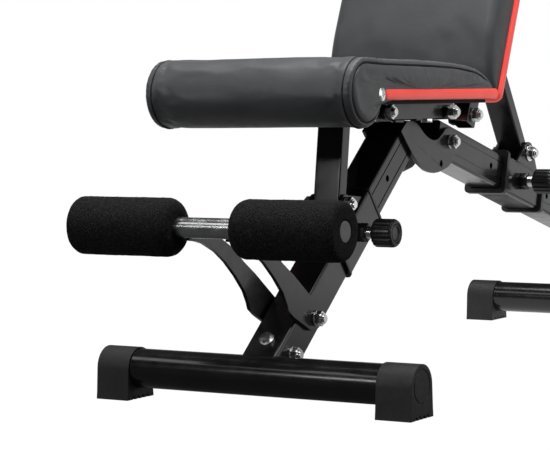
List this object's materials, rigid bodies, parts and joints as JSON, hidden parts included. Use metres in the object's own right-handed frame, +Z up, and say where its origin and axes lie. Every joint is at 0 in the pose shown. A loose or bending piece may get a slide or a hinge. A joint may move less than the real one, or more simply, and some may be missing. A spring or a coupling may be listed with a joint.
{
  "type": "decline sit up bench",
  "caption": "Adjustable sit up bench with foam foot rollers, a tilting seat and a reclining backrest, each held by a pull pin sleeve on a bent steel frame.",
  "frame": {"origin": "centre of the footprint on the floor", "axes": "+X from the foot rollers towards the backrest, +Y to the seated user's left, +Z up"},
  "size_m": [1.26, 0.45, 1.0341],
  "materials": {
    "gloss_black": "gloss black powder coat",
    "dark_chrome": "dark grey plated steel",
    "zinc": "bright zinc plate",
    "rubber": "matt moulded rubber",
    "black_plastic": "satin black moulding",
    "grey_plastic": "matt grey end plug",
    "foam": "speckled black closed-cell foam",
    "leatherette": "charcoal leatherette with a soft sheen",
    "board": "black stained plywood",
    "red_trim": "bright red edge trim"
  },
  "bodies": {
    "frame": {"front_foot_bar": "gloss_black", "front_foot_cap_right": "rubber", "front_foot_cap_left": "rubber", "rear_foot_bar": "gloss_black", "rear_foot_cap_right": "rubber", "rear_foot_cap_left": "rubber", "front_leg": "gloss_black", "front_leg_bolt": "zinc", "front_leg_screw": "zinc", "roller_arm_right": "gloss_black", "roller_arm_left": "gloss_black", "roller_arm_bolt": "zinc", "roller_bar": "dark_chrome", "roller_bar_plug_right": "grey_plastic", "roller_bar_plug_left": "grey_plastic", "hub_plate_right": "gloss_black", "hub_plate_left": "gloss_black", "hub_bolt": "zinc", "main_beam": "gloss_black", "beam_end_cap": "black_plastic", "rear_upright": "gloss_black", "hinge_cradle": "gloss_black", "seat_pivot_bolt": "zinc", "back_pivot_bolt": "zinc"},
    "roller_right": {"foam_roller_right": "foam"},
    "roller_left": {"foam_roller_left": "foam"},
    "seat_sleeve": {"seat_sleeve": "gloss_black", "seat_liner_low": "black_plastic", "seat_liner_high": "black_plastic", "seat_post_bolt": "zinc", "seat_pin_barrel": "zinc"},
    "seat_knob": {"seat_knob": "black_plastic"},
    "seat_post": {"seat_post": "gloss_black"},
    "seat": {"seat_rail_right": "gloss_black", "seat_rail_left": "gloss_black", "seat_front_bolt": "zinc", "seat_board": "board", "seat_pad": "leatherette", "seat_trim_right": "red_trim", "seat_trim_left": "red_trim", "seat_trim_button_right": "zinc", "seat_trim_button_left": "zinc", "seat_rail_screw_right": "zinc", "seat_rail_screw_left": "zinc"},
    "backrest": {"back_rail_right": "gloss_black", "back_rail_left": "gloss_black", "back_cross_low": "gloss_black", "back_cross_high": "gloss_black", "back_board": "board", "back_pad": "leatherette", "back_trim": "red_trim", "strut_top_bolt": "zinc"},
    "back_sleeve": {"back_sleeve": "gloss_black", "back_liner_front": "black_plastic", "back_liner_rear": "black_plastic", "back_pin_barrel": "zinc"},
    "back_knob": {"back_knob": "black_plastic"},
    "strut": {"strut": "gloss_black", "strut_base_bolt": "zinc"}
  },
  "joints": [
    {"name": "roller_right_spin", "type": "hinge", "parent": "frame", "child": "roller_right", "pos_m": [-0.5945, 0, 0.2276], "axis": [0, 1, 0], "continuous": true},
    {"name": "roller_left_spin", "type": "hinge", "parent": "frame", "child": "roller_left", "pos_m": [-0.5945, 0, 0.2276], "axis": [0, 1, 0], "continuous": true},
    {"name": "seat_sleeve_slide", "type": "slide", "parent": "frame", "child": "seat_sleeve", "axis": [0.7771, 0, 0.6293], "range_m": [0, 0.107]},
    {"name": "seat_post_hinge", "type": "hinge", "parent": "seat_sleeve", "child": "seat_post", "pos_m": [-0.29924, 0, 0.24221], "axis": [0, 1, 0], "range_deg": [-36.6, 0]},
    {"name": "seat_hinge", "type": "hinge", "parent": "frame", "child": "seat", "pos_m": [-0.1005, 0, 0.359], "axis": [0, 1, 0], "range_deg": [0, 18.3]},
    {"name": "seat_knob_pull", "type": "slide", "parent": "seat_sleeve", "child": "seat_knob", "axis": [0, -1, 0], "range_m": [0, 0.012], "stiffness_N_per_m": 800, "springref_m": -0.005},
    {"name": "backrest_hinge", "type": "hinge", "parent": "frame", "child": "backrest", "pos_m": [-0.0195, 0, 0.354], "axis": [0, 1, 0], "range_deg": [0, 30]},
    {"name": "back_sleeve_slide", "type": "slide", "parent": "frame", "child": "back_sleeve", "axis": [0.9664, 0, -0.2571], "range_m": [0, 0.1565]},
    {"name": "strut_hinge", "type": "hinge", "parent": "backrest", "child": "strut", "pos_m": [0.08207, 0, 0.58539], "axis": [0, 1, 0], "range_deg": [-40, 0]},
    {"name": "back_knob_pull", "type": "slide", "parent": "back_sleeve", "child": "back_knob", "axis": [0, -1, 0], "range_m": [0, 0.012], "stiffness_N_per_m": 800, "springref_m": -0.005}
  ],
  "couplings": [
    {"joint": "seat_hinge", "follows": "seat_sleeve_slide", "rad_per_m": 2.96},
    {"joint": "seat_post_hinge", "follows": "seat_sleeve_slide", "rad_per_m": -5.95},
    {"joint": "back_sleeve_slide", "follows": "backrest_hinge", "m_per_rad": 0.29794},
    {"joint": "strut_hinge", "follows": "backrest_hinge", "ratio": -1.325}
  ]
}
